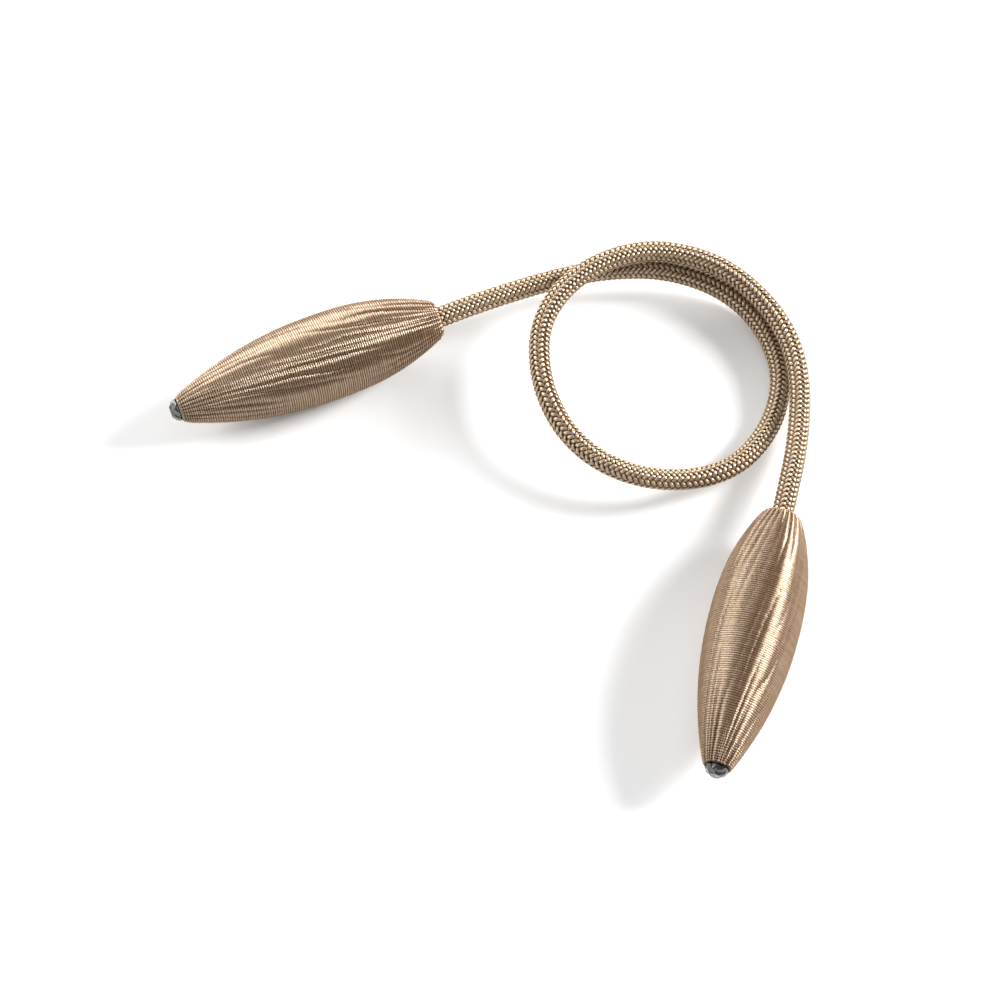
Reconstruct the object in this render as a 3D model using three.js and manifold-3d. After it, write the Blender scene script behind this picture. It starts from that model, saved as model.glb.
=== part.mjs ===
// Bendable curtain tieback, in millimetres with +Z up, lying on the plane z = 0.
// One braided cord makes a loop a little over a full turn. A spindle wound with satin thread sits on each end of it,
// and the tip of each spindle holds a faceted stone on a small dark seat.
import * as THREE from 'three';
import { mergeVertices } from 'three/addons/utils/BufferGeometryUtils.js';
import Module from 'manifold-3d';

// Fit between pieces that touch
const fitGap = 0.3;

// Cord
const cordDiameter = 6.3;
const cordSides = 12;
const cordSteps = 74;

// Spindle: its radius swells from the tip to the belly and draws in again to the collar round the cord
const spindleLength = 79.5;
const tipRadius = 3.88;
const bellyRadius = 12.64;
const bellyFromTip = 44;
const collarRadius = 5.2;
const tipFullness = 2.05;
const collarFullness = 2.37;
const shoulderRound = 1;
const spindleStations = 22;

// Lengthwise ribs of the winding
const ribCount = 20;
const ribDepth = 0.3;

// Seat and stone in the tip: rings of the stone go outwards from its back, with their turn in steps of a facet
const seatInset = 0.1;
const seatRadius = 3;
const seatThickness = 1.1;
const seatSegments = 24;
const stoneFacets = 8;
const stoneRings = [
  { out: 0, radius: 3.05, turn: 0 },
  { out: 0.4, radius: 3.45, turn: 0 },
  { out: 1.55, radius: 2.75, turn: 0.5 },
  { out: 2.5, radius: 1.5, turn: 0 },
];

// Where each spindle lies: the middle of its tip, its heading from +X towards +Y, and how far its collar end droops
const spindlePlaces = [
  { side: 'left', x: -86.9, y: 39, z: 12.4, heading: 22.38, droop: 0 },
  { side: 'right', x: 62.9, y: -71.27, z: 13.85, heading: 74.84, droop: 1.7 },
];

// Centre line of the cord from the left collar: under the loop, down to the surface, round and over itself, and on to
// the right collar. The loop touches the surface along its right side and stands up to 18 mm over it where it crosses.
const cordRoute = [
  [-13.1, 69.4, 12.4],
  [-3.2, 73.7, 12.4],
  [7.1, 77.8, 12.2],
  [17.5, 81.6, 11.8],
  [28.1, 84.9, 11.1],
  [39, 86.8, 10.6],
  [50.1, 87.3, 9.7],
  [60.9, 86, 7.6],
  [71, 82.1, 5.3],
  [79.1, 74.9, 3.7],
  [84.2, 65.1, 3.05],
  [86, 54.1, 3.05],
  [84.1, 43.3, 3.15],
  [79.3, 33.3, 4.3],
  [72.3, 24.9, 6.4],
  [63, 19.5, 8.5],
  [52.2, 17.7, 9.9],
  [41.2, 19.3, 10.9],
  [31.3, 24, 12],
  [23.4, 31.6, 13.5],
  [18.3, 41.3, 15],
  [16, 52.1, 16],
  [16.6, 63.2, 16.8],
  [21.1, 73.2, 17.5],
  [28.8, 81.1, 17.9],
  [38.4, 86.6, 17.5],
  [49, 89.5, 16.2],
  [59.9, 89.2, 14.1],
  [70.2, 85.8, 12],
  [78.8, 79.1, 10.4],
  [85.5, 70.3, 9.3],
  [89.6, 60, 8.6],
  [90.9, 49, 8.4],
  [90.3, 38, 8.6],
  [88.7, 26.8, 9.6],
  [86.3, 16, 10.9],
  [83.8, 5.7, 11.5],
];

const champagne = new THREE.MeshStandardMaterial({ color: 0x9c7a5a, roughness: 0.5, metalness: 0 });
const braid = new THREE.MeshStandardMaterial({ color: 0xa5845f, roughness: 0.55, metalness: 0 });
const blackened = new THREE.MeshStandardMaterial({ color: 0x1c1a19, roughness: 0.4, metalness: 0.8 });
const smoky = new THREE.MeshStandardMaterial({ color: 0x77757b, roughness: 0.05, metalness: 0 });

const wasm = await Module();
wasm.setup();

function solidOf(geometry) {
  const bare = geometry.clone();
  bare.deleteAttribute('normal');
  bare.deleteAttribute('uv');
  const merged = mergeVertices(bare, 1e-4);
  return new wasm.Manifold(new wasm.Mesh({
    numProp: 3,
    vertProperties: merged.attributes.position.array,
    triVerts: Uint32Array.from(merged.index.array),
  }));
}

function geometryOf(solid) {
  const mesh = solid.getMesh();
  const geometry = new THREE.BufferGeometry();
  geometry.setAttribute('position', new THREE.BufferAttribute(mesh.vertProperties, 3));
  geometry.setIndex(new THREE.BufferAttribute(mesh.triVerts, 1));
  geometry.computeVertexNormals();
  return geometry;
}

// Cuts off what reaches below z = 0 once the geometry is placed by the matrix, which leaves a flat to rest on
function restOnSurface(geometry, placed) {
  const reach = 400;
  const under = new THREE.BoxGeometry(reach, reach, reach).translate(0, 0, -reach / 2);
  under.applyMatrix4(placed.clone().invert());
  return geometryOf(solidOf(geometry).subtract(solidOf(under)));
}

// Radius of the winding at a distance from the tip
function windingRadius(along) {
  if (along < bellyFromTip) {
    return bellyRadius - (bellyRadius - tipRadius) * (1 - along / bellyFromTip) ** tipFullness;
  }
  const past = (along - bellyFromTip) / (spindleLength - bellyFromTip);
  return bellyRadius - (bellyRadius - collarRadius) * past ** collarFullness;
}

// Half section of a spindle: the recess for the seat, the swelling side, the round shoulder and the flat collar end
function spindleSection() {
  const recessRadius = seatRadius + fitGap;
  const recessDepth = seatInset + seatThickness + fitGap;
  const section = [
    new THREE.Vector2(0, recessDepth),
    new THREE.Vector2(recessRadius, recessDepth),
    new THREE.Vector2(recessRadius, 0),
  ];
  const sideLength = spindleLength - shoulderRound;
  for (let station = 0; station <= spindleStations; station += 1) {
    const along = sideLength * station / spindleStations;
    section.push(new THREE.Vector2(windingRadius(along), along));
  }
  const shoulderAt = windingRadius(sideLength) - shoulderRound;
  for (const turn of [Math.PI / 4, Math.PI / 2]) {
    const radius = shoulderAt + shoulderRound * Math.cos(turn);
    section.push(new THREE.Vector2(radius, sideLength + shoulderRound * Math.sin(turn)));
  }
  section.push(new THREE.Vector2(0, spindleLength));
  return section;
}

// The section turned round, with every second column of points drawn in to make the lengthwise ribs
function spindleGeometry() {
  const columns = 2 * ribCount;
  const section = spindleSection();
  const geometry = new THREE.LatheGeometry(section, columns);
  const points = geometry.attributes.position;
  const drawnIn = 1 - ribDepth / bellyRadius;
  for (let column = 1; column < columns; column += 2) {
    for (let row = 3; row < section.length; row += 1) {
      const index = column * section.length + row;
      points.setX(index, points.getX(index) * drawnIn);
      points.setZ(index, points.getZ(index) * drawnIn);
    }
  }
  return geometry;
}

function seatGeometry() {
  const back = seatInset + seatThickness;
  const section = [
    new THREE.Vector2(0, seatInset),
    new THREE.Vector2(seatRadius, seatInset),
    new THREE.Vector2(seatRadius, back),
    new THREE.Vector2(0, back),
  ];
  return new THREE.LatheGeometry(section, seatSegments);
}

// A flat-backed stone: rings of corners joined by triangles, closed by its back and its table
function stoneGeometry() {
  const positions = [];
  for (const ring of stoneRings) {
    for (let corner = 0; corner < stoneFacets; corner += 1) {
      const angle = 2 * Math.PI * (corner + ring.turn) / stoneFacets;
      positions.push(ring.radius * Math.sin(angle), -ring.out, ring.radius * Math.cos(angle));
    }
  }
  const back = positions.length / 3;
  const table = back + 1;
  positions.push(0, -stoneRings[0].out, 0);
  positions.push(0, -stoneRings.at(-1).out, 0);
  const triangles = [];
  const lastRing = (stoneRings.length - 1) * stoneFacets;
  for (let corner = 0; corner < stoneFacets; corner += 1) {
    const next = (corner + 1) % stoneFacets;
    triangles.push(back, corner, next);
    triangles.push(table, lastRing + next, lastRing + corner);
  }
  for (let ring = 0; ring < stoneRings.length - 1; ring += 1) {
    const inner = ring * stoneFacets;
    const outer = inner + stoneFacets;
    const leads = stoneRings[ring + 1].turn > stoneRings[ring].turn;
    for (let corner = 0; corner < stoneFacets; corner += 1) {
      const next = (corner + 1) % stoneFacets;
      if (leads) {
        triangles.push(inner + corner, outer + corner, inner + next);
        triangles.push(inner + next, outer + corner, outer + next);
      } else {
        triangles.push(inner + corner, outer + corner, outer + next);
        triangles.push(inner + corner, outer + next, inner + next);
      }
    }
  }
  const geometry = new THREE.BufferGeometry();
  geometry.setAttribute('position', new THREE.Float32BufferAttribute(positions, 3));
  geometry.setIndex(triangles);
  return geometry.toNonIndexed();
}

// A round section carried along the route
function cordGeometry() {
  const route = new THREE.CatmullRomCurve3(cordRoute.map((point) => new THREE.Vector3(...point)));
  const section = new THREE.Shape();
  for (let side = 0; side < cordSides; side += 1) {
    const angle = 2 * Math.PI * side / cordSides;
    const x = cordDiameter / 2 * Math.cos(angle);
    const y = cordDiameter / 2 * Math.sin(angle);
    if (side === 0) {
      section.moveTo(x, y);
    } else {
      section.lineTo(x, y);
    }
  }
  section.closePath();
  return new THREE.ExtrudeGeometry(section, { steps: cordSteps, extrudePath: route });
}

function piece(name, geometry, material) {
  const mesh = new THREE.Mesh(geometry, material);
  mesh.name = name;
  return mesh;
}

const tieback = new THREE.Group();
tieback.add(piece('cord', restOnSurface(cordGeometry(), new THREE.Matrix4()), braid));

for (const place of spindlePlaces) {
  // Inside this group the spindle's axis is +Y, from its tip at the origin to its collar
  const end = new THREE.Group();
  end.position.set(place.x, place.y, place.z);
  const heading = THREE.MathUtils.degToRad(place.heading);
  const droop = THREE.MathUtils.degToRad(place.droop);
  end.rotation.set(0, droop, heading, 'ZYX');
  end.rotateZ(-Math.PI / 2);
  end.updateMatrixWorld();
  end.add(piece(`spindle_${place.side}`, restOnSurface(spindleGeometry(), end.matrixWorld), champagne));
  end.add(piece(`stone_seat_${place.side}`, seatGeometry(), blackened));
  const stone = piece(`stone_${place.side}`, stoneGeometry(), smoky);
  stone.position.y = seatInset - fitGap;
  end.add(stone);
  tieback.add(end);
}

export default tieback;
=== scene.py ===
# Curtain tieback: a braided cord bent into a loop, with a thread-wound spindle and a small stone
# on each end. Lengths are in metres and z = 0 is the surface that it lies on.
import math

import bpy
import numpy as np
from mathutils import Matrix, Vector


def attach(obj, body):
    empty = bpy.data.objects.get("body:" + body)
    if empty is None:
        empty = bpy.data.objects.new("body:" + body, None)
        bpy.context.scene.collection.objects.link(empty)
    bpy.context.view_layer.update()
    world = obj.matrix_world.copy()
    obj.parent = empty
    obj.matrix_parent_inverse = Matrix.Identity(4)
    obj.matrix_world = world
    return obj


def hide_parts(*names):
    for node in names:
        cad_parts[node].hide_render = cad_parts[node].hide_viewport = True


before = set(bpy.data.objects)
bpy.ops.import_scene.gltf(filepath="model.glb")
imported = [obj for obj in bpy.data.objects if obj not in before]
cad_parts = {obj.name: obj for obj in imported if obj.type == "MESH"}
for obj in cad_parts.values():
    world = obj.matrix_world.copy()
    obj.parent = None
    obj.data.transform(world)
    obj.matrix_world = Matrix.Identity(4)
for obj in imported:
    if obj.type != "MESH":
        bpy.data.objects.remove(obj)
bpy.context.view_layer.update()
millimetre = 0.001
restsAt = 0.00004  # no thread lies lower than this over the surface
print("frame loaded:", len(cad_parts), "nodes")

# Camera: 63 degrees above the horizon, looking at a point of the surface 860 mm away
cameraSettings = {
    "lookAt": (0.00459, 0.01627, 0.0),
    "distance": 0.860,
    "elevation": 63.0,
    "sensorWidth": 36.0,
    "lens": 108.36,
}


# The camera stands towards the viewer (-Y) from the point it looks at, raised by the elevation
def makeCamera(settings):
    elevation = math.radians(settings["elevation"])
    away = Vector((0, -math.cos(elevation), math.sin(elevation)))
    data = bpy.data.cameras.new("camera")
    data.sensor_width = settings["sensorWidth"]
    data.lens = settings["lens"]
    camera = bpy.data.objects.new("camera", data)
    camera.location = Vector(settings["lookAt"]) + settings["distance"] * away
    camera.rotation_euler = (math.pi / 2 - elevation, 0, 0)
    bpy.context.scene.collection.objects.link(camera)
    bpy.context.scene.camera = camera


makeCamera(cameraSettings)
print("camera placed")


# Vectors divided by their own lengths
def unit(vectors):
    return vectors / np.linalg.norm(vectors, axis=-1, keepdims=True)


# Faces of a sheet of points with the given rows and columns, whose last column joins the first.
# The corner order makes a face look outwards where (along rows) x (along columns) does.
def joinedFaces(rows, columns):
    row, column = np.meshgrid(np.arange(rows - 1), np.arange(columns), indexing="ij")
    nextColumn = (column + 1) % columns
    corners = [
        row * columns + column,
        (row + 1) * columns + column,
        (row + 1) * columns + nextColumn,
        row * columns + nextColumn,
    ]
    return np.stack(corners, axis=-1).reshape(-1, 4)


# Texture places of the same faces: acrossAt has one more entry than there are columns, to close
# the seam
def joinedPlaces(alongAt, acrossAt):
    rows = len(alongAt)
    columns = len(acrossAt) - 1
    row, column = np.meshgrid(np.arange(rows - 1), np.arange(columns), indexing="ij")
    along = np.stack([alongAt[row], alongAt[row + 1], alongAt[row + 1], alongAt[row]], axis=-1)
    corners = [acrossAt[column], acrossAt[column], acrossAt[column + 1], acrossAt[column + 1]]
    return np.stack([along, np.stack(corners, axis=-1)], axis=-1).reshape(-1, 4, 2)


# A mesh from points, four-cornered faces and caps (lists of point numbers of any length).
# A point's openness is 1 where it lies on top and nears 0 where it lies deep between others; the
# materials read it to paint shade, darker at the deep points.
def meshPiece(name, points, openness, faces, places, caps):
    mesh = bpy.data.meshes.new(name)
    everyFace = faces.tolist() + [list(cap) for cap in caps]
    mesh.from_pydata(points.reshape(-1, 3).tolist(), [], everyFace)
    layer = mesh.uv_layers.new(name="threads")
    spread = np.zeros((len(mesh.loops), 2), np.float32)
    spread[: places.shape[0] * 4] = places.reshape(-1, 2)
    layer.data.foreach_set("uv", spread.ravel())
    depths = mesh.attributes.new("openness", "FLOAT", "POINT")
    depths.data.foreach_set("value", np.asarray(openness, np.float32).ravel())
    mesh.polygons.foreach_set("use_smooth", np.ones(len(mesh.polygons), dtype=bool))
    mesh.update()
    piece = bpy.data.objects.new(name, mesh)
    bpy.context.scene.collection.objects.link(piece)
    return piece


# Cord: the route is the centre line in millimetres, from the left collar to the right one
cordRoute = [
    (-13.1, 69.4, 12.4), (-3.2, 73.7, 12.4), (7.1, 77.8, 12.2), (17.5, 81.6, 11.8),
    (28.1, 84.9, 11.1), (39, 86.8, 10.6), (50.1, 87.3, 9.7), (60.9, 86, 7.6),
    (71, 82.1, 5.3), (79.1, 74.9, 3.7), (84.2, 65.1, 3.05), (86, 54.1, 3.05),
    (84.1, 43.3, 3.15), (79.3, 33.3, 4.3), (72.3, 24.9, 6.4), (63, 19.5, 8.5),
    (52.2, 17.7, 9.9), (41.2, 19.3, 10.9), (31.3, 24, 12), (23.4, 31.6, 13.5),
    (18.3, 41.3, 15), (16, 52.1, 16), (16.6, 63.2, 16.8), (21.1, 73.2, 17.5),
    (28.8, 81.1, 17.9), (38.4, 86.6, 17.5), (49, 89.5, 16.2), (59.9, 89.2, 14.1),
    (70.2, 85.8, 12), (78.8, 79.1, 10.4), (85.5, 70.3, 9.3), (89.6, 60, 8.6),
    (90.9, 49, 8.4), (90.3, 38, 8.6), (88.7, 26.8, 9.6), (86.3, 16, 10.9),
    (83.8, 5.7, 11.5),
]
cordSettings = {
    "diameter": 0.0063,
    "length": 0.400,
    "endReach": 0.0006,  # how far each end runs on into its collar
    "finePerStretch": 40,
}


# Smooth line through the points of a route: between two of them it is a cubic whose end slopes
# come from the neighbours on both sides, weighed by the square roots of the distances between them
def smoothLine(route, finePerStretch):
    route = np.asarray(route, float)
    before = 2 * route[0] - route[1]
    after = 2 * route[-1] - route[-2]
    points = np.vstack([before, route, after])
    gaps = np.sqrt(np.linalg.norm(np.diff(points, axis=0), axis=1))[:, None]
    slopes = np.diff(points, axis=0) / gaps
    p1 = points[1:-2]
    p2 = points[2:-1]
    g0, g1, g2 = gaps[:-2], gaps[1:-1], gaps[2:]
    slope1 = g1 * (slopes[:-2] - (points[2:-1] - points[:-3]) / (g0 + g1) + slopes[1:-1])
    slope2 = g1 * (slopes[1:-1] - (points[3:] - points[1:-2]) / (g1 + g2) + slopes[2:])
    t = np.arange(finePerStretch)[:, None, None] / finePerStretch
    cubic = (2 * t**3 - 3 * t**2 + 1) * p1 + (t**3 - 2 * t**2 + t) * slope1
    cubic = cubic + (3 * t**2 - 2 * t**3) * p2 + (t**3 - t**2) * slope2
    line = cubic.transpose(1, 0, 2).reshape(-1, 3)
    return np.vstack([line, route[-1]])


# Points at even distances along a line, with the level direction to its right there and the one
# square to both, which leans least from straight up
def stationsOn(line, count):
    walked = np.concatenate([[0], np.cumsum(np.linalg.norm(np.diff(line, axis=0), axis=1))])
    at = np.linspace(0, walked[-1], count)
    centre = np.stack([np.interp(at, walked, line[:, axis]) for axis in range(3)], axis=1)
    ahead = unit(np.gradient(centre, at, axis=0))
    right = unit(np.cross(ahead, (0, 0, 1)))
    over = np.cross(right, ahead)
    return {"at": at, "centre": centre, "right": right, "over": over}


# The cord's centre line in metres, which runs straight on at both ends, into the collars
def cordLine():
    line = smoothLine(cordRoute, cordSettings["finePerStretch"]) * millimetre
    first = line[0] - unit(line[1] - line[0]) * cordSettings["endReach"]
    last = line[-1] + unit(line[-1] - line[-2]) * cordSettings["endReach"]
    return np.vstack([first, line, last])


# Braid: as many strands turn one way round the cord as the other, each over two and under two
braidSettings = {
    "strandsEachWay": 10,
    "stitch": 0.00160,  # from one stitch to the next along the cord
    "strandWidth": 0.00116,
    "strandThickness": 0.00072,
    "sway": 0.00047,  # how far a strand rises and sinks as it passes over and under
    "flatTop": 0.3,  # near 0 is an even wave, more makes the floats flatter and their ends steeper
    "stationsPerTurn": 48,
    "sides": 8,
    "firstTurn": 0.6,  # where the first column of stitches stands, in radians from the right
}


# One set of strands. Strand j stands at the angle 2 pi j / n + hand 2 pi s / turn at the distance
# s along the cord. Its distance from the centre line is middle + hand sway wave(n angle / 2 -
# pi / 4), so it is over two strands of the other set, which are under there, and then under two.
# Its section is an oval that lies flat on the cord and is carried along that line.
def strandSet(name, hand, line):
    settings = braidSettings
    count = settings["strandsEachWay"]
    turn = count * settings["stitch"]
    thickness = settings["strandThickness"]
    middle = cordSettings["diameter"] / 2 - settings["sway"] - thickness / 2
    length = np.linalg.norm(np.diff(line, axis=0), axis=1).sum()
    stations = int(length / turn * settings["stationsPerTurn"])
    cord = stationsOn(line, stations)
    strand = np.arange(count)[:, None]
    firstTurn = settings["firstTurn"]
    angle = firstTurn + 2 * np.pi * (strand / count + hand * cord["at"][None] / turn)
    wave = np.cos(count * (angle - firstTurn) / 2 - np.pi / 4)
    flatTop = settings["flatTop"]
    rise = np.tanh(flatTop * wave) / np.tanh(flatTop)
    distance = middle + hand * settings["sway"] * rise
    outward = np.cos(angle)[..., None] * cord["right"] + np.sin(angle)[..., None] * cord["over"]
    centre = cord["centre"] + distance[..., None] * outward
    onward = unit(np.gradient(centre, axis=1))
    across = unit(np.cross(onward, outward))
    out = np.cross(across, onward)
    sides = settings["sides"]
    turned = (2 * np.pi * np.arange(sides) / sides)[:, None]
    halfWidth = settings["strandWidth"] / 2
    points = centre[:, :, None] + halfWidth * np.cos(turned) * across[:, :, None]
    points = points + thickness / 2 * np.sin(turned) * out[:, :, None]
    points[..., 2] = np.maximum(points[..., 2], restsAt)
    # Painted shade: a strand's points get darker as it sinks under the other set
    openness = np.repeat(0.5 + 0.5 * hand * rise, sides)
    perStrand = stations * sides
    faces = joinedFaces(stations, sides)
    everyFace = (faces[None] + perStrand * strand[..., None]).reshape(-1, 4)
    places = joinedPlaces(cord["at"], np.arange(sides + 1) / sides)
    shift = np.zeros((count, 1, 1, 2))
    shift[:, 0, 0, 1] = np.arange(count)
    everyPlace = (places[None] + shift).reshape(-1, 4, 2)
    caps = []
    for number in range(count):
        start = number * perStrand
        last = start + perStrand - 1
        caps.append(range(start, start + sides))
        caps.append(range(last, last - sides, -1))
    return meshPiece(name, points, openness, everyFace, everyPlace, caps)


cordCentre = cordLine()
braidRight = strandSet("braid_strands_right", 1, cordCentre)
braidLeft = strandSet("braid_strands_left", -1, cordCentre)
for braidPiece in (braidRight, braidLeft):
    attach(braidPiece, "root")
    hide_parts("cord")
print("braid made:", len(braidRight.data.polygons) + len(braidLeft.data.polygons), "faces")

# Windings: where each spindle lies (the middle of its tip in millimetres), its heading from +X
# towards +Y and how far its collar end droops, in degrees
spindlePlaces = {
    "left": {
        "tip": (-86.9, 39, 12.4),
        "heading": 22.38,
        "droop": 0,
        "seed": 4,
        "bellyDepth": 0.0002,  # how deep the pleats are at the belly
        "pleatWander": 1.3,  # how far they wander sideways along it, in pleat radians
        "wanderWaves": (1.5, 4.0),  # and in how many waves from end to end
        "tipRound": 0.00045,  # how far the winding closes in at its very tip
        "pitchGrowth": 0.16,  # how much wider the last thread is than the first one
    },
    "right": {
        "tip": (62.9, -71.27, 13.85),
        "heading": 74.84,
        "droop": 1.7,
        "seed": 9,
        "bellyDepth": 0.00012,
        "pleatWander": 0.5,
        "wanderWaves": (0.6, 1.6),
        "tipRound": 0.0001,
        "pitchGrowth": 0.08,
    },
}
spindleSettings = {
    "length": 0.0795,
    "tipRadius": 0.00388,
    "bellyRadius": 0.01264,
    "bellyFromTip": 0.044,
    "collarRadius": 0.0052,
    "tipFullness": 2.05,
    "collarFullness": 2.37,
    "shoulder": 0.0011,
    "shoulderBends": (25, 50, 75, 90),  # where its rows stand, in degrees of the bend
    "recessRadius": 0.0033,
    "tipRecess": 0.0015,
    "tipRoundLength": 0.002,
    "collarRecess": 0.0010,
    "rimRound": 0.0002,  # how much the rims of both recesses are rounded
    "lip": 0.0001,  # how far the tip's rim stands out before the first thread
    "columns": 264,
}
windingSettings = {
    "threadPitch": 0.000655,
    "ridge": 0.00022,
    "ridgeUnevenness": 0.15,
    "pitchUnevenness": 0.10,
    "threadSway": 0.000008,  # how far each thread rises and sinks on its way round the belly
    "swayRounds": (12, 36),
    "pleats": 24,
    "pleatTwist": -0.85,  # how far they turn round the spindle from tip to collar, in radians
    "pleatDepthAtEnds": 0.00044,
    "deepUpTo": 0.0045,  # the radius up to which they are as deep as at the ends
    "shallowAfter": 0.0075,  # how much more radius makes them as shallow as at the belly
    "pleatSpread": 0.45,  # how unevenly the pleats stand, as a part of their width
    "crestFlatness": 0.7,  # near 0 is a flat crest with a slit of a valley, 1 is an even round one
    "pleatWaviness": 0.15,  # sideways short waves of the pleats, in pleat radians
    "threadShift": 0.25,  # how far they jump sideways from thread to thread, in pleat radians
    "patchiness": 0.9,  # how much deeper and shallower the pleats get along the belly
    "leastDepth": 0.1,  # and what always stays of them
    "broadDepth": 0.00016,
}
# Waves of each kind of unevenness: how many round the spindle, and how many from end to end
unevenWaves = {
    "spread": {"rounds": (2, 7), "waves": (0, 0.3)},
    "waviness": {"rounds": (7, 19), "waves": (4.0, 9.0)},
    "patchiness": {"rounds": (2, 9), "waves": (0.6, 2.5)},
    "broad": {"rounds": (3, 6), "waves": (0.3, 1.2)},
}
wanderRounds = (3, 11)
# Rows of a thread: one in the groove and two near its crest
threadPart = np.array([0, 1 / 3, 2 / 3])
threadBulge = np.array([-1, 0.75, 0.75])


# Radius of a winding at a distance from its tip: it swells by a power law to the belly and draws
# in by another one
def windingRadius(along):
    s = spindleSettings
    towardsTip = np.clip(1 - along / s["bellyFromTip"], 0, 1)
    past = np.clip((along - s["bellyFromTip"]) / (s["length"] - s["bellyFromTip"]), 0, 1)
    fromTip = (s["bellyRadius"] - s["tipRadius"]) * towardsTip ** s["tipFullness"]
    fromCollar = (s["bellyRadius"] - s["collarRadius"]) * past ** s["collarFullness"]
    return s["bellyRadius"] - fromTip - fromCollar


# Sum of a few sine waves round and along the spindle, between about -1 and 1. The numbers of
# waves round it are whole, so it closes.
def softUnevenness(rng, turned, along, rounds, waves, terms=6):
    total = np.zeros(np.broadcast(turned, along).shape)
    for _ in range(terms):
        number = rng.integers(rounds[0], rounds[1] + 1) * rng.choice((-1, 1))
        wave = rng.uniform(*waves)
        start = rng.uniform(0, 2 * np.pi)
        alongPart = 2 * np.pi * wave * along / spindleSettings["length"]
        total = total + np.sin(number * turned + alongPart + start)
    return total / math.sqrt(2 * terms)


# How far the pleats draw the threads in: wide crests and narrow valleys, a power of |cos(x / 2)|
# for an angle x that grows by one turn for each pleat and wanders a little. They are deep at both
# ends and shallow and patchy at the belly. The second result is the same without the broad dents.
def pleatDepth(rng, place, turned, along):
    w = windingSettings

    def uneven(rounds, waves):
        return softUnevenness(rng, turned, along, rounds, waves)

    nearBelly = np.clip((windingRadius(along) - w["deepUpTo"]) / w["shallowAfter"], 0, 1)
    spread = uneven(**unevenWaves["spread"]) * 2 * np.pi * w["pleatSpread"]
    wander = uneven(wanderRounds, place["wanderWaves"]) * place["pleatWander"] * nearBelly
    waves = uneven(**unevenWaves["waviness"]) * w["pleatWaviness"] * nearBelly
    threads = len(along) // len(threadPart) + 1
    shifts = rng.uniform(-w["threadShift"], w["threadShift"], threads)
    perThread = np.repeat(shifts, len(threadPart))[: len(along), None]
    twisted = turned - w["pleatTwist"] * along / spindleSettings["length"]
    x = w["pleats"] * twisted + spread + wander + waves + perThread
    valley = 1 - np.abs(np.cos(x / 2)) ** w["crestFlatness"]
    patchy = 1 + w["patchiness"] * uneven(**unevenWaves["patchiness"]) * nearBelly
    depth = w["pleatDepthAtEnds"] + (place["bellyDepth"] - w["pleatDepthAtEnds"]) * nearBelly
    broad = w["broadDepth"] * uneven(**unevenWaves["broad"])
    pleats = depth * np.maximum(patchy, w["leastDepth"]) * valley
    return pleats + broad, pleats


# How far each thread rises and sinks on its way round, by two sine waves of its own, the same for
# all rows of the thread
def threadSway(rng, turned, rows):
    threads = rows // len(threadPart) + 1
    number = rng.integers(*windingSettings["swayRounds"], (threads, 2, 1))
    start = rng.uniform(0, 2 * np.pi, (threads, 2, 1))
    waves = np.sin(number * turned + start).sum(axis=1)
    return np.repeat(waves, len(threadPart), axis=0)[:rows] * windingSettings["threadSway"]


# Rows of the wound side: threads of uneven width and height, side by side. Returns each row's
# distance from the tip and its height over the winding's own radius.
def threadRows(rng, place):
    w = windingSettings
    wound = spindleSettings["length"] - spindleSettings["shoulder"]
    threads = int(round(wound / w["threadPitch"]))
    growth = place["pitchGrowth"] * (np.arange(threads) / threads - 0.5)
    widths = 1 + growth + w["pitchUnevenness"] * rng.uniform(-1, 1, threads)
    edges = np.concatenate([[0], np.cumsum(widths)]) / widths.sum() * wound
    heights = w["ridge"] * (1 + w["ridgeUnevenness"] * rng.uniform(-1, 1, threads))
    along = (edges[:-1, None] + threadPart * np.diff(edges)[:, None]).ravel()
    height = (heights[:, None] * threadBulge).ravel()
    return np.append(along, wound), np.append(height, -w["ridge"])


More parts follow.
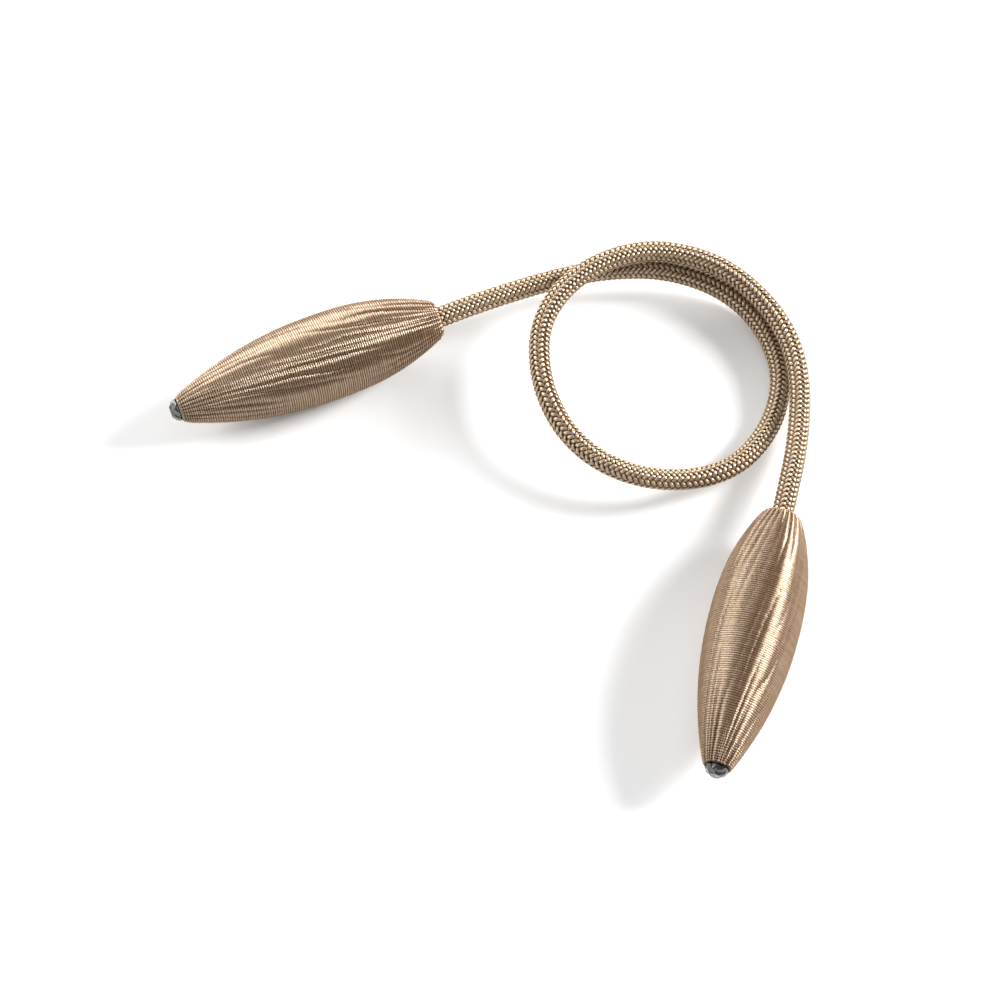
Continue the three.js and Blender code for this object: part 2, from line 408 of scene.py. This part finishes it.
# A winding is its rows of rings, carried along the spindle's axis: the recess in the tip, the
# wound side with its threads and pleats, the shoulder, which bends in by a quarter of a circle,
# and the recess that the cord runs into
def windingPiece(side, place):
    s = spindleSettings
    rng = np.random.default_rng(place["seed"])
    heading = math.radians(place["heading"])
    droop = math.radians(place["droop"])
    level = math.cos(droop)
    axis = np.array([math.cos(heading) * level, math.sin(heading) * level, -math.sin(droop)])
    right = np.array([math.sin(heading), -math.cos(heading), 0])
    over = np.cross(right, axis)
    columns = s["columns"]
    turned = 2 * np.pi * np.arange(columns) / columns

    along, ridges = threadRows(rng, place)
    drawnIn, pleats = pleatDepth(rng, place, turned[None], along[:, None])
    closing = np.clip(1 - along / s["tipRoundLength"], 0, 1)
    plainRadius = (windingRadius(along) - place["tipRound"] * closing**2)[:, None]
    sway = threadSway(rng, turned, len(along)) * plainRadius / s["bellyRadius"]
    sideRadius = plainRadius + ridges[:, None] + sway - drawnIn

    bends = np.radians(s["shoulderBends"])
    bendAlong = along[-1] + s["shoulder"] * np.sin(bends)
    bendInwards = s["shoulder"] * (1 - np.cos(bends))
    bendRadius = sideRadius[-1][None] - bendInwards[:, None]
    recess = s["recessRadius"]
    rim = s["rimRound"]
    end = s["length"]
    tipFloor = s["tipRecess"]
    collarFloor = end - s["collarRecess"]
    tipRows = np.array([(tipFloor, recess), (rim, recess), (-s["lip"], recess + rim)])
    endRows = np.array([(end, recess + rim), (end - rim, recess), (collarFloor, recess)])
    plain = np.ones(columns)
    rowAlong = np.concatenate([tipRows[:, 0], along, bendAlong, endRows[:, 0]])
    rowRadius = [tipRows[:, 1:] * plain, sideRadius, bendRadius, endRows[:, 1:] * plain]
    rowRadius = np.vstack(rowRadius)

    outward = np.cos(turned)[:, None] * right + np.sin(turned)[:, None] * over
    tip = np.array(place["tip"]) * millimetre
    points = tip + rowAlong[:, None, None] * axis + rowRadius[..., None] * outward[None]
    poles = tip + np.array([[tipFloor], [collarFloor]]) * axis
    points = np.vstack([points.reshape(-1, 3), poles])
    points[:, 2] = np.maximum(points[:, 2], restsAt)

    rows = len(rowAlong)
    firstWound = len(tipRows)
    # Painted shade: the pleats' valleys get darker the deeper they are
    opened = 1 - np.clip(pleats / windingSettings["pleatDepthAtEnds"], 0, 1)
    openness = np.ones((rows, columns))
    openness[firstWound: firstWound + len(along)] = opened
    openness = np.append(openness.ravel(), [0, 0])
    girth = 2 * np.pi * s["bellyRadius"]
    threadNumber = (np.arange(rows) - firstWound) / len(threadPart)  # whole in the grooves
    places = joinedPlaces(threadNumber, np.arange(columns + 1) / columns * girth)[..., ::-1]
    firstPole = rows * columns
    lastRow = (rows - 1) * columns
    caps = []
    for column in range(columns):
        following = (column + 1) % columns
        caps.append((firstPole, column, following))
        caps.append((firstPole + 1, lastRow + following, lastRow + column))
    faces = joinedFaces(rows, columns)
    piece = meshPiece("winding_" + side, points, openness, faces, places, caps)
    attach(piece, "root")
    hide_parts("spindle_" + side)
    return piece


windings = {side: windingPiece(side, place) for side, place in spindlePlaces.items()}
print("windings made:", sum(len(piece.data.polygons) for piece in windings.values()), "faces")


# Materials. A node tree is filled by these small helpers.
def addNode(material, kind, settings=None, values=None):
    node = material.node_tree.nodes.new(kind)
    for key, value in (settings or {}).items():
        setattr(node, key, value)
    for key, value in (values or {}).items():
        node.inputs[key].default_value = value
    return node


def join(material, source, output, target, socket):
    material.node_tree.links.new(source.outputs[output], target.inputs[socket])


# A new material and its shader, which starts with the given values
def newMaterial(name, values):
    material = bpy.data.materials.new(name)
    material.use_nodes = True
    material.node_tree.nodes.clear()
    output = addNode(material, "ShaderNodeOutputMaterial")
    shader = addNode(material, "ShaderNodeBsdfPrincipled", values=values)
    join(material, shader, "BSDF", output, "Surface")
    return material, shader


# A node that works out one step, from the outputs that are given as (node, output) pairs
def mathNode(material, operation, *sources, values=None):
    node = addNode(material, "ShaderNodeMath", {"operation": operation}, values)
    for socket, (source, output) in enumerate(sources):
        join(material, source, output, node, socket)
    return node


# A ramp between two colours, from the place "start" to the place "end" of the value that goes in
def addRamp(material, first, last, start=0.0, end=1.0):
    node = addNode(material, "ShaderNodeValToRGB")
    node.color_ramp.elements[0].position = start
    node.color_ramp.elements[0].color = (*first, 1)
    node.color_ramp.elements[1].position = end
    node.color_ramp.elements[1].color = (*last, 1)
    return node


# Noise that reads the thread places, stretched by a scale for each direction
def threadNoise(material, threads, scale, values):
    stretched = addNode(material, "ShaderNodeMapping", values={"Scale": scale})
    join(material, threads, "UV", stretched, "Vector")
    noise = addNode(material, "ShaderNodeTexNoise", values={"Scale": 1.0, **values})
    join(material, stretched, "Vector", noise, "Vector")
    return noise


# Satin thread: a brown body under a strong cream gloss. Fine filaments run along the thread, so
# the gloss spreads across them. Both colours change a little from thread to thread and along each
# one. Painted shade darkens both to a deep brown at the thread's edges, in the grooves, where
# |sin(pi k v)| nears 0 for the place v across it, and where the piece's openness is low.
def satinThread(name, look):
    material, shader = newMaterial(name, {
        "Roughness": look["roughness"],
        "Anisotropic": look["anisotropic"],
        "Anisotropic Rotation": look["glossTurn"],
        "IOR": look["ior"],
        "Specular IOR Level": look["specular"],
    })
    alongThread = {"direction_type": "UV_MAP", "uv_map": "threads"}
    tangent = addNode(material, "ShaderNodeTangent", alongThread)
    join(material, tangent, "Tangent", shader, "Tangent")
    threads = addNode(material, "ShaderNodeUVMap", {"uv_map": "threads"})
    fine = {"Detail": look["filamentDetail"], "Roughness": look["filamentRoughness"]}
    filaments = threadNoise(material, threads, look["filamentScale"], fine)
    broad = {"Detail": look["streakDetail"]}
    streaks = threadNoise(material, threads, look["streakScale"], broad)
    share = look["streakShare"]
    rest = mathNode(material, "MULTIPLY", (filaments, "Fac"), values={1: 1 - share})
    mixed = mathNode(material, "MULTIPLY_ADD", (streaks, "Fac"), values={1: share})
    join(material, rest, "Value", mixed, 2)

    parts = addNode(material, "ShaderNodeSeparateXYZ")
    join(material, threads, "UV", parts, "Vector")
    turns = {1: math.pi * look["edgesPerThread"]}
    phase = mathNode(material, "MULTIPLY", (parts, "Y"), values=turns)
    wave = mathNode(material, "SINE", (phase, "Value"))
    size = mathNode(material, "ABSOLUTE", (wave, "Value"))
    shade = addNode(material, "ShaderNodeMapRange", values={
        "From Min": look["edgeStart"],
        "From Max": look["edgeEnd"],
    })
    join(material, size, "Value", shade, "Value")
    depths = addNode(material, "ShaderNodeAttribute", {"attribute_name": "openness"})
    opened = addNode(material, "ShaderNodeMapRange", values={
        "From Min": look["closedTo"],
        "From Max": look["openFrom"],
        "To Min": look["deepest"],
    })
    join(material, depths, "Fac", opened, "Value")
    both = mathNode(material, "MULTIPLY", (shade, "Result"), (opened, "Result"))
    # Painted shade: both colours below are multiplied down towards a deep brown in the grooves and
    # deep places
    paintedShadeRamp = addRamp(material, look["paintedShadeColour"], (1, 1, 1))
    join(material, both, "Value", paintedShadeRamp, "Fac")

    ramps = {
        "Base Color": ("bodyDark", "bodyLight"),
        "Specular Tint": ("glossDark", "glossLight"),
    }
    for socket, (dark, light) in ramps.items():
        colours = addRamp(material, look[dark], look[light], look["darkUpTo"], look["lightFrom"])
        join(material, mixed, "Value", colours, "Fac")
        shaded = addNode(material, "ShaderNodeVectorMath", {"operation": "MULTIPLY"})
        join(material, colours, "Color", shaded, 0)
        join(material, paintedShadeRamp, "Color", shaded, 1)
        join(material, shaded, "Vector", shader, socket)
    relief = {"Strength": look["bump"], "Distance": look["bumpDistance"]}
    bump = addNode(material, "ShaderNodeBump", values=relief)
    join(material, filaments, "Fac", bump, "Height")
    join(material, bump, "Normal", shader, "Normal")
    return material


# What both satin threads share
threadLook = {
    "specular": 1.0,
    "glossTurn": 0.25,  # in turns: the gloss spreads across the thread
    "filamentDetail": 3.0,
    "filamentRoughness": 0.6,
    "streakDetail": 2.0,
    "streakShare": 0.5,  # how much of the colour follows the streaks, and the rest the filaments
    "darkUpTo": 0.36,  # the mix of both that is all dark
    "lightFrom": 0.64,  # and the one that is all light
}
braidLook = {
    **threadLook,
    "bodyDark": (0.09, 0.037, 0.011),
    "bodyLight": (0.18, 0.078, 0.024),
    "glossDark": (0.74, 0.585, 0.42),
    "glossLight": (1.0, 0.88, 0.68),
    # the deep brown of the painted shade in the gaps between strands and where they sink
    "paintedShadeColour": (0.15, 0.1, 0.06),
    "edgesPerThread": 2,
    "edgeStart": 0.1,
    "edgeEnd": 0.9,
    "deepest": 0.0,
    "closedTo": 0.5,
    "openFrom": 0.95,
    "roughness": 0.45,
    "ior": 3.0,
    "anisotropic": 0.7,
    "filamentScale": (600, 14, 1),
    "streakScale": (250, 1, 1),
    "bump": 0.35,
    "bumpDistance": 0.00006,
}
windingLook = {
    **threadLook,
    "bodyDark": (0.065, 0.025, 0.007),
    "bodyLight": (0.13, 0.055, 0.016),
    "glossDark": (0.72, 0.55, 0.40),
    "glossLight": (1.0, 0.805, 0.61),
    # the deep brown of the painted shade in the grooves between threads and in pleat valleys
    "paintedShadeColour": (0.10, 0.06, 0.04),
    "edgesPerThread": 1,
    "edgeStart": 0.08,
    "edgeEnd": 0.8,
    "deepest": 0.2,
    "closedTo": 0.1,
    "openFrom": 0.75,
    "roughness": 0.46,
    "ior": 2.75,
    "anisotropic": 0.86,
    "filamentScale": (300, 5, 1),
    "streakScale": (90, 0.9, 1),
    "bump": 0.3,
    "bumpDistance": 0.00005,
}
braidMaterial = satinThread("satinBraid", braidLook)
windingMaterial = satinThread("satinWinding", windingLook)
for braidPiece in (braidRight, braidLeft):
    braidPiece.data.materials.append(braidMaterial)
for winding in windings.values():
    winding.data.materials.append(windingMaterial)

stoneLook = {
    "roughness": 0.03,
    "ior": 1.9,
    "transmission": 0.2,
    "noiseScale": 300.0,
    "noiseDetail": 2.0,
    "darkest": (0.006, 0.006, 0.008),
    "lightest": (0.05, 0.048, 0.052),
    "darkUpTo": 0.4,
    "lightFrom": 0.65,
    "facetScale": 620.0,  # small facets for each metre
    "bump": 0.7,
    "bumpDistance": 0.0008,
}
seatLook = {
    "roughness": 0.15,
    "metallic": 0.9,
    "noiseScale": 900.0,
    "noiseDetail": 3.0,
    "darkest": (0.03, 0.028, 0.03),
    "lightest": (0.16, 0.15, 0.155),
    "darkUpTo": 0.3,
    "lightFrom": 0.7,
}


# Gives the shader a colour that noise in the object's own space moves between two. Returns the
# node with the object's places.
def cloudyColour(material, shader, look):
    place = addNode(material, "ShaderNodeTexCoord")
    noise = addNode(material, "ShaderNodeTexNoise", values={
        "Scale": look["noiseScale"],
        "Detail": look["noiseDetail"],
    })
    join(material, place, "Object", noise, "Vector")
    ends = (look["darkUpTo"], look["lightFrom"])
    colours = addRamp(material, look["darkest"], look["lightest"], *ends)
    join(material, noise, "Fac", colours, "Fac")
    join(material, colours, "Color", shader, "Base Color")
    return place


# Smoky stone: nearly black glass that mirrors the lamps, with a faint cloudiness in its body.
# Cones of about 1.6 mm round scattered points bend the mirror, for the small facets of the cut.
def smokyStone(look):
    material, shader = newMaterial("smokyStone", {
        "Roughness": look["roughness"],
        "IOR": look["ior"],
        "Transmission Weight": look["transmission"],
    })
    place = cloudyColour(material, shader, look)
    facets = addNode(material, "ShaderNodeTexVoronoi", values={"Scale": look["facetScale"]})
    join(material, place, "Object", facets, "Vector")
    relief = {"Strength": look["bump"], "Distance": look["bumpDistance"]}
    bump = addNode(material, "ShaderNodeBump", values=relief)
    join(material, facets, "Distance", bump, "Height")
    join(material, bump, "Normal", shader, "Normal")
    return material


# Dark foil behind the stone, with a fine grain; its darkness is also painted shade for the gap
# round the stone
def foilAndPaintedShade(look):
    values = {"Roughness": look["roughness"], "Metallic": look["metallic"]}
    material, shader = newMaterial("foilAndPaintedShade", values)
    cloudyColour(material, shader, look)
    return material


# Gives a CAD node this material in place of its own
def repaint(node, material):
    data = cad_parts[node].data
    data.materials.clear()
    data.materials.append(material)


stoneMaterial = smokyStone(stoneLook)
seatMaterial = foilAndPaintedShade(seatLook)
for side in spindlePlaces:
    repaint("stone_" + side, stoneMaterial)
    repaint("stone_seat_" + side, seatMaterial)
print("materials made")

# Floor and lights. The lamps stand round the lit point, all at one distance; a lamp's azimuth is
# from +X towards +Y, and its power is in watts.
stageSettings = {
    "floorSize": 24.0,
    "floorDrop": 0.00002,
    "floorColour": (0.9, 0.9, 0.9),
    "floorRoughness": 0.9,
    "floorSpecular": 0.2,
    "skyFront": 0.35,  # strength of the sky towards the viewer
    "skyBack": 0.04,  # and behind the object, where the lamps are
    "litPoint": (0, 0.03, 0),
    "lampDistance": 2.0,
}
lampSettings = {
    "key": {"azimuth": 14.6, "elevation": 28, "width": 0.66, "height": 0.66, "power": 68.0},
    "backLow": {"azimuth": 112, "elevation": 12, "width": 2.8, "height": 0.7, "power": 42.0},
    "backHigh": {"azimuth": 112, "elevation": 32, "width": 2.8, "height": 0.7, "power": 25.0},
    "left": {"azimuth": 192, "elevation": 28, "width": 2.2, "height": 1.4, "power": 25.0},
    "top": {"azimuth": 90, "elevation": 80, "width": 2.0, "height": 2.0, "power": 5.0},
}


# A level square, just under the surface that the tieback lies on
def makeFloor(settings):
    half = settings["floorSize"] / 2
    drop = -settings["floorDrop"]
    mesh = bpy.data.meshes.new("floor")
    corners = [(-half, -half, drop), (half, -half, drop), (half, half, drop), (-half, half, drop)]
    mesh.from_pydata(corners, [], [(0, 1, 2, 3)])
    floor = bpy.data.objects.new("floor", mesh)
    bpy.context.scene.collection.objects.link(floor)
    material, _ = newMaterial("paleFloor", {
        "Base Color": (*settings["floorColour"], 1),
        "Roughness": settings["floorRoughness"],
        "Specular IOR Level": settings["floorSpecular"],
    })
    mesh.materials.append(material)


# A soft rectangular lamp that faces the lit point and isn't seen by the camera
def makeLamp(name, lamp, settings):
    data = bpy.data.lights.new(name, "AREA")
    data.shape = "RECTANGLE"
    data.size = lamp["width"]
    data.size_y = lamp["height"]
    data.energy = lamp["power"]
    azimuth = math.radians(lamp["azimuth"])
    elevation = math.radians(lamp["elevation"])
    flat = math.cos(elevation)
    towards = (math.cos(azimuth) * flat, math.sin(azimuth) * flat, math.sin(elevation))
    towards = Vector(towards)
    item = bpy.data.objects.new(name, data)
    item.location = Vector(settings["litPoint"]) + settings["lampDistance"] * towards
    item.rotation_euler = (-towards).to_track_quat("-Z", "Y").to_euler()
    item.visible_camera = False
    bpy.context.scene.collection.objects.link(item)


# A white sky that fades from the viewer's side to the side that the lamps stand on
def makeSky(settings):
    world = bpy.data.worlds.new("sky")
    world.use_nodes = True
    tree = world.node_tree
    background = tree.nodes["Background"]
    background.inputs["Color"].default_value = (1, 1, 1, 1)
    direction = tree.nodes.new("ShaderNodeTexCoord")
    parts = tree.nodes.new("ShaderNodeSeparateXYZ")
    tree.links.new(direction.outputs["Generated"], parts.inputs["Vector"])
    strength = tree.nodes.new("ShaderNodeMapRange")
    limits = {
        "From Min": -1,
        "From Max": 1,
        "To Min": settings["skyFront"],
        "To Max": settings["skyBack"],
    }
    for key, value in limits.items():
        strength.inputs[key].default_value = value
    tree.links.new(parts.outputs["Y"], strength.inputs["Value"])
    tree.links.new(strength.outputs["Result"], background.inputs["Strength"])
    bpy.context.scene.world = world


makeFloor(stageSettings)
for lampName, lamp in lampSettings.items():
    makeLamp(lampName + "Lamp", lamp, stageSettings)
makeSky(stageSettings)
bpy.context.scene.view_settings.view_transform = "Standard"
print("floor and lights placed")
